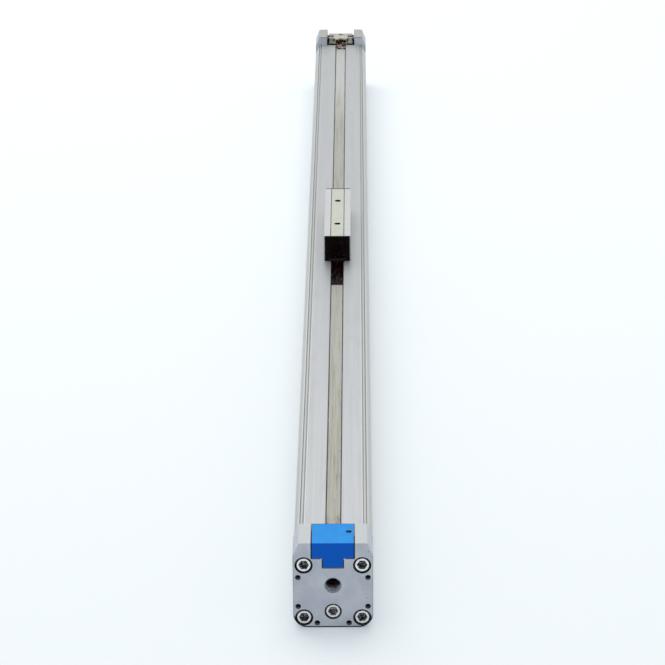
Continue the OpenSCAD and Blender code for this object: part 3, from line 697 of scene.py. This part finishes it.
def cutThread(shape, look, isWall, axis):  # puts a real thread in place of a plain hole's wall
    bmesh.ops.delete(shape, geom=[f for f in shape.faces if isWall(f)], context="FACES")
    rims = [e for e in shape.edges if e.is_boundary]
    rings = threadRings(shape, look, axis)
    middle = axis(0, 0, (look["start"] + look["length"] / 2) * mm)
    out = axis(0, 0, 0) - middle
    for ring, side in zip(rings, (1, -1)):
        loop = [e for e in rims if e.is_valid and ((e.verts[0].co - middle).dot(out)) * side > 0
                and (e.verts[0].co - middle).length < look["reach"] * mm]
        loop += [shape.edges.get((ring[k - 1], ring[k])) for k in range(len(ring))]
        joined = bmesh.ops.bridge_loops(shape, edges=loop)
        for face in joined["faces"]:
            face.material_index = look["index"]
    bmesh.ops.recalc_face_normals(shape, faces=shape.faces)


capLook = {  # in mm: bevels, bores, then the depths that are painted
    "outline": 0.35, "holes": 0.10, "portZ": 26.4, "portBore": 4.95, "counterbore": 5.1, "cushionBore": 4.85,
    "markBore": 1.6, "beside": 0.3, "casting": 24.9, "threaded": 9.95, "threadFrom": 4.1,
    "markDepth": 0.12, "oilDepth": (0.02, 6), "portDepth": (5, 12), "grimeDepth": 0.36, "grimeTop": 8,
}
portThread = {"minor": 4.28, "major": 4.86, "pitch": 0.907, "start": 0.12, "length": 9.6, "index": 1,
              "reach": 8}
screwSides = (-screwPlaces["capScrew"], screwPlaces["capScrew"])
wideHoles = [(x, screwPlaces["axisZ"] + up, capLook["counterbore"]) for x in screwSides for up in screwSides]
wideHoles += [(0, screwPlaces["cushionZ"], capLook["cushionBore"])]
smallHoles = [(side * x, z, capLook["markBore"]) for side in (-1, 1)
              for x, z in ((19.6, 31.25), (19.6, 13.15), (8.93, 2.75))]
portHole = [(0, capLook["portZ"], capLook["portBore"])]


def inHoles(c, holes, room):
    return any(math.hypot(c.x - x, c.z - z) < r + room for x, z, r in holes)


def makeCap(node, side):
    shape = cleanMesh(node)
    outline, fine = [], []
    for edge in sharpEdges(shape):
        middle = (edge.verts[0].co + edge.verts[1].co) / 2 / mm
        if inHoles(middle, wideHoles + smallHoles, capLook["beside"]):
            if abs(depthBelow(middle)) < 0.01:
                fine.append(edge)
        elif depthBelow(middle) < capLook["casting"] and not inHoles(middle, portHole, capLook["beside"]):
            outline.append(edge)
    soften(shape, fine, capLook["holes"] * mm, 1)
    soften(shape, [e for e in outline if e.is_valid], capLook["outline"] * mm, 3)
    low, high = capLook["oilDepth"]
    paint(shape, 3, lambda c: depthBelow(c) > capLook["markDepth"] and inHoles(c, smallHoles, 0.05))
    # painted shade in the counterbores round the screws' heads
    paint(shape, 2, lambda c: low < depthBelow(c) < high and inHoles(c, wideHoles, 0.12))

    def isPortWall(face):
        c = face.calc_center_median() / mm
        inBore = inHoles(c, portHole, 0) and depthBelow(c) < capLook["threaded"]
        return inBore and abs(face.normal.y) < 0.9 and \
            math.hypot(c.x, c.z - capLook["portZ"]) > capLook["threadFrom"]

    start, end = capLook["portDepth"]
    for face in shape.faces:
        c = face.calc_center_median() / mm
        if face.normal.z < -0.2 and depthBelow(c) < capLook["grimeDepth"] and c.z < capLook["grimeTop"]:
            face.material_index = 2  # painted shadow on the lower edge
        elif inHoles(c, portHole, capLook["beside"]) and start < depthBelow(c) < end:
            face.material_index = 1
    z = capLook["portZ"] * mm
    cutThread(shape, portThread, isPortWall, lambda u, v, w: Vector((u, side * (endY - w), z + v)))
    stand(addPiece(shape, camel(node), node, extra=(portMaterial, socketShadeMaterial, markMaterial)), node)


for node, side in (("near_cap", -1), ("far_cap", 1)):
    makeCap(node, side)
print("end caps made")


barLook = {"bevel": 0.12, "pitch": 25, "sharp": 40, "clear": 3, "bore": 2.7}  # mm, but sharp in degrees
barThread = {"minor": 2.1, "major": 2.5, "pitch": 0.8, "start": 0.1, "length": 4.7, "index": 1, "reach": 4.2}


def makeBar():  # the driver's bar with its two threaded holes
    shape = cleanMesh("driver_bar")
    edges = []
    for edge in sharpEdges(shape, barLook["sharp"]):
        middle = (edge.verts[0].co + edge.verts[1].co) / 2
        away = abs(abs(middle.y - carriageY) - barLook["pitch"] * mm)
        if math.hypot(middle.x, away) > barLook["clear"] * mm:
            edges.append(edge)
    soften(shape, edges, barLook["bevel"] * mm)
    for side in (-1, 1):
        y = carriageY + side * barLook["pitch"] * mm

        def isWall(face):
            c = face.calc_center_median()
            return math.hypot(c.x, c.y - y) < barLook["bore"] * mm and abs(face.normal.z) < 0.9

        cutThread(shape, barThread, isWall, lambda u, v, w: Vector((u, y + v, driverHigh.z - w)))
    stand(addPiece(shape, "driverBar", "driver_bar", extra=(barHoleMaterial,)), "driver_bar")


makeBar()
print("driver bar made")


bandLook = {  # in mm: spacing of the cuts, edge bevel, and where each band leaves the carriage and is held
    "step": 12, "edge": 0.15, "coverLeaves": 50, "coverHeld": 490, "sealLeaves": 80, "sealHeld": 502,
}


def bandHalf(node, side, rideY, fixedY, bevel):  # half a band, cut at the carriage's middle and into short lengths up to where it is held
    shape = cleanMesh(node)
    if bevel:
        long = [e for e in sharpEdges(shape, 60) if abs(e.verts[0].co.y - e.verts[1].co.y) > 1 * mm]
        soften(shape, long, bevel * mm)
    everything = shape.verts[:] + shape.edges[:] + shape.faces[:]
    bmesh.ops.bisect_plane(shape, geom=everything, plane_co=(0, carriageY, 0), plane_no=(0, side, 0),
                           clear_inner=True)
    rim = [e for e in shape.edges if e.is_boundary]
    bmesh.ops.contextual_create(shape, geom=rim)
    steps = int(abs(fixedY - rideY) / (bandLook["step"] * mm))
    for k in range(1, steps):
        y = rideY + (fixedY - rideY) * k / steps
        everything = shape.verts[:] + shape.edges[:] + shape.faces[:]
        bmesh.ops.bisect_plane(shape, geom=everything, plane_co=(0, y, 0), plane_no=(0, 1, 0))
    piece = addPiece(shape, camel(node) + ("Far" if side > 0 else "Near"), node)
    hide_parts(node)
    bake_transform(piece)


for side in (-1, 1):
    bandHalf("cover_band", side, carriageY + side * bandLook["coverLeaves"] * mm,
             side * bandLook["coverHeld"] * mm, bandLook["edge"])
    bandHalf("sealing_band", side, carriageY + side * bandLook["sealLeaves"] * mm,
             side * bandLook["sealHeld"] * mm, 0)
print("bands made")


floorLook = {"size": 60, "colour": (0.80, 0.80, 0.80, 1), "shown": (0.985, 1.0, 0.985, 1),
             "glow": (0.107, 0.14, 0.166, 1)}
worldLook = {"sky": (0.95, 0.97, 1.0, 1), "strength": 0.58, "shown": (1, 1, 1, 1)}
lampLook = {"place": (-0.25, 0.80, 2.2), "size": (2.4, 2.6), "watts": 25}  # aimed at the middle of the floor
cameraLook = {"place": (0.014068, -1.89201, 0.73106), "down": 21.9942, "yaw": -0.5591, "roll": -0.4041,
              "lens": 148.2445, "sensor": 36}


def plainTree(tree):
    tree.nodes.clear()
    return Wire(tree, tree.nodes.new("ShaderNodeLightPath").outputs["Is Camera Ray"])


def seenRays(start):  # 1 for what the camera sees straight, mirrored or through glass
    outs = start.socket.node.outputs
    kinds = ("Is Camera Ray", "Is Glossy Ray", "Is Transmission Ray")
    rays = [Wire(start.tree, outs[kind]) for kind in kinds]
    return rays[0].math("MAXIMUM", rays[0].math("MAXIMUM", rays[0], rays[1]), rays[2])


def toOutput(result, kind):
    output = result.tree.nodes.new("ShaderNodeOutput" + kind)
    result.tree.links.new(result.socket, output.inputs["Surface"])


def makeFloor():
    half = floorLook["size"] / 2
    mesh = bpy.data.meshes.new("floor")
    corners = [(-half, -half, 0), (half, -half, 0), (half, half, 0), (-half, half, 0)]
    mesh.from_pydata(corners, [], [(0, 1, 2, 3)])
    floor = bpy.data.objects.new("floor", mesh)
    bpy.context.scene.collection.objects.link(floor)
    material = bpy.data.materials.new("paleFloor")
    material.use_nodes = True
    start = plainTree(material.node_tree)
    plain = start.node("BsdfDiffuse", {}, {"Color": floorLook["colour"]})
    shown = start.node("BsdfDiffuse", {}, {"Color": floorLook["shown"]})
    glow = start.node("Emission", {}, {"Color": floorLook["glow"], "Strength": 1})
    both = start.node("AddShader", {}, {0: shown, 1: glow})
    toOutput(start.node("MixShader", {}, {0: seenRays(start), 1: plain, 2: both}), "Material")
    mesh.materials.append(material)


def makeWorld():
    world = bpy.data.worlds.new("studio")
    bpy.context.scene.world = world
    world.use_nodes = True
    start = plainTree(world.node_tree)
    sky = start.node("Background", {}, {"Color": worldLook["sky"], "Strength": worldLook["strength"]})
    white = start.node("Background", {}, {"Color": worldLook["shown"], "Strength": 1})
    toOutput(start.node("MixShader", {}, {0: seenRays(start), 1: sky, 2: white}), "World")


def makeLamp():
    data = bpy.data.lights.new("overhead", "AREA")
    data.shape = "RECTANGLE"
    data.size, data.size_y = lampLook["size"]
    data.energy = lampLook["watts"]
    lamp = bpy.data.objects.new("overhead", data)
    lamp.location = lampLook["place"]
    lamp.rotation_euler = (-Vector(lampLook["place"])).to_track_quat("-Z", "Y").to_euler()
    bpy.context.scene.collection.objects.link(lamp)


def makeCamera():
    data = bpy.data.cameras.new("camera")
    data.lens = cameraLook["lens"]
    data.sensor_width = cameraLook["sensor"]
    camera = bpy.data.objects.new("camera", data)
    turn = Matrix.Rotation(math.radians(-cameraLook["yaw"]), 4, "Z")
    turn @= Matrix.Rotation(math.radians(90 - cameraLook["down"]), 4, "X")
    turn @= Matrix.Rotation(math.radians(cameraLook["roll"]), 4, "Z")
    camera.matrix_world = Matrix.Translation(cameraLook["place"]) @ turn
    bpy.context.scene.collection.objects.link(camera)
    bpy.context.scene.camera = camera


makeFloor()
makeWorld()
makeLamp()
makeCamera()
bpy.context.scene.view_settings.view_transform = "Standard"
print("floor, light and camera made")
